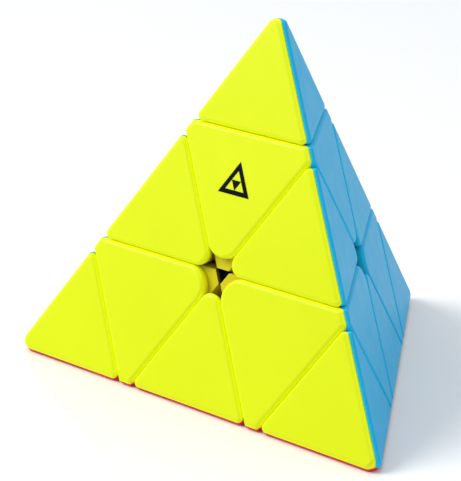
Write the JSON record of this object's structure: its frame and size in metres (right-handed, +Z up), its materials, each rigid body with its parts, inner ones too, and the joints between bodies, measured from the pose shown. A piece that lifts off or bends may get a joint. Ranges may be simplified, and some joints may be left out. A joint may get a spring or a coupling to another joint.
{
  "type": "pyramid twisty puzzle",
  "caption": "Tetrahedral twisty puzzle: tip, axial and edge pieces with coloured shells turn about a four-armed sprung core.",
  "frame": {"origin": "centre of the core, where the four turning axes cross; the puzzle stands on its base face 21.15 mm below", "axes": "+Z up through the top tip; the front face looks towards -Y; +X to the right"},
  "size_m": [0.098, 0.0854, 0.0805],
  "materials": {
    "yellow_shell": "satin moulded ABS, fluorescent yellow",
    "blue_shell": "satin moulded ABS, light blue",
    "green_shell": "satin moulded ABS, green",
    "red_shell": "satin moulded ABS, red",
    "inner_plastic": "black moulded inner plastic",
    "core_plastic": "white moulded nylon core",
    "screw_steel": "plated steel",
    "spring_steel": "spring steel wire"
  },
  "bodies": {
    "core": {"core_spider": "core_plastic", "axle_screws": "screw_steel", "spring_washers": "screw_steel", "tension_springs": "spring_steel"},
    "axial_top": {"top_axial_front": "yellow_shell", "top_axial_side": "blue_shell", "top_axial_back": "green_shell", "top_axial_hub": "inner_plastic"},
    "tip_top": {"top_tip_front": "yellow_shell", "top_tip_side": "blue_shell", "top_tip_back": "green_shell", "top_tip_stem": "inner_plastic"},
    "axial_left": {"left_axial_front": "yellow_shell", "left_axial_back": "green_shell", "left_axial_base": "red_shell", "left_axial_hub": "inner_plastic"},
    "tip_left": {"left_tip_front": "yellow_shell", "left_tip_back": "green_shell", "left_tip_base": "red_shell", "left_tip_stem": "inner_plastic"},
    "axial_right": {"right_axial_front": "yellow_shell", "right_axial_side": "blue_shell", "right_axial_base": "red_shell", "right_axial_hub": "inner_plastic"},
    "tip_right": {"right_tip_front": "yellow_shell", "right_tip_side": "blue_shell", "right_tip_base": "red_shell", "right_tip_stem": "inner_plastic"},
    "axial_rear": {"rear_axial_side": "blue_shell", "rear_axial_back": "green_shell", "rear_axial_base": "red_shell", "rear_axial_hub": "inner_plastic"},
    "tip_rear": {"rear_tip_side": "blue_shell", "rear_tip_back": "green_shell", "rear_tip_base": "red_shell", "rear_tip_stem": "inner_plastic"},
    "edge_top_left": {"top_left_edge_front": "yellow_shell", "top_left_edge_back": "green_shell", "top_left_edge_foot": "inner_plastic"},
    "edge_top_right": {"top_right_edge_front": "yellow_shell", "top_right_edge_side": "blue_shell", "top_right_edge_foot": "inner_plastic"},
    "edge_top_rear": {"top_rear_edge_side": "blue_shell", "top_rear_edge_back": "green_shell", "top_rear_edge_foot": "inner_plastic"},
    "edge_left_right": {"left_right_edge_front": "yellow_shell", "left_right_edge_base": "red_shell", "left_right_edge_foot": "inner_plastic"},
    "edge_right_rear": {"right_rear_edge_side": "blue_shell", "right_rear_edge_base": "red_shell", "right_rear_edge_foot": "inner_plastic"},
    "edge_rear_left": {"rear_left_edge_back": "green_shell", "rear_left_edge_base": "red_shell", "rear_left_edge_foot": "inner_plastic"}
  },
  "joints": [
    {"name": "top_layer_turn", "type": "hinge", "parent": "core", "child": "axial_top", "pos_m": [0, 0, 0], "axis": [0, 0, 1], "range_deg": [-600, 480]},
    {"name": "left_layer_turn", "type": "hinge", "parent": "core", "child": "axial_left", "pos_m": [0, 0, 0], "axis": [-0.8165, -0.4714, -0.3333], "range_deg": [-600, 480]},
    {"name": "right_layer_turn", "type": "hinge", "parent": "core", "child": "axial_right", "pos_m": [0, 0, 0], "axis": [0.8165, -0.4714, -0.3333], "range_deg": [-600, 480]},
    {"name": "rear_layer_turn", "type": "hinge", "parent": "core", "child": "axial_rear", "pos_m": [0, 0, 0], "axis": [0, 0.9428, -0.3333], "range_deg": [-600, 480]},
    {"name": "top_tip_turn", "type": "hinge", "parent": "axial_top", "child": "tip_top", "pos_m": [0, 0, 0], "axis": [0, 0, 1], "continuous": true},
    {"name": "left_tip_turn", "type": "hinge", "parent": "axial_left", "child": "tip_left", "pos_m": [0, 0, 0], "axis": [-0.8165, -0.4714, -0.3333], "continuous": true},
    {"name": "right_tip_turn", "type": "hinge", "parent": "axial_right", "child": "tip_right", "pos_m": [0, 0, 0], "axis": [0.8165, -0.4714, -0.3333], "continuous": true},
    {"name": "rear_tip_turn", "type": "hinge", "parent": "axial_rear", "child": "tip_rear", "pos_m": [0, 0, 0], "axis": [0, 0.9428, -0.3333], "continuous": true},
    {"name": "top_left_edge_turn", "type": "hinge", "parent": "axial_top", "child": "edge_top_left", "pos_m": [0, 0, 0], "axis": [-0.8165, -0.4714, -0.3333], "range_deg": [-600, 480]},
    {"name": "top_right_edge_turn", "type": "hinge", "parent": "axial_top", "child": "edge_top_right", "pos_m": [0, 0, 0], "axis": [0.8165, -0.4714, -0.3333], "range_deg": [-600, 480]},
    {"name": "top_rear_edge_turn", "type": "hinge", "parent": "axial_top", "child": "edge_top_rear", "pos_m": [0, 0, 0], "axis": [0, 0.9428, -0.3333], "range_deg": [-600, 480]},
    {"name": "left_right_edge_turn", "type": "hinge", "parent": "axial_left", "child": "edge_left_right", "pos_m": [0, 0, 0], "axis": [0.8165, -0.4714, -0.3333], "range_deg": [-600, 480]},
    {"name": "right_rear_edge_turn", "type": "hinge", "parent": "axial_right", "child": "edge_right_rear", "pos_m": [0, 0, 0], "axis": [0, 0.9428, -0.3333], "range_deg": [-600, 480]},
    {"name": "rear_left_edge_turn", "type": "hinge", "parent": "axial_rear", "child": "edge_rear_left", "pos_m": [0, 0, 0], "axis": [-0.8165, -0.4714, -0.3333], "range_deg": [-600, 480]}
  ],
  "couplings": [
    {"joint": "top_left_edge_turn", "follows": "left_layer_turn", "ratio": 1},
    {"joint": "top_right_edge_turn", "follows": "right_layer_turn", "ratio": 1},
    {"joint": "top_rear_edge_turn", "follows": "rear_layer_turn", "ratio": 1},
    {"joint": "left_right_edge_turn", "follows": "right_layer_turn", "ratio": 1},
    {"joint": "right_rear_edge_turn", "follows": "rear_layer_turn", "ratio": 1},
    {"joint": "rear_left_edge_turn", "follows": "left_layer_turn", "ratio": 1}
  ]
}
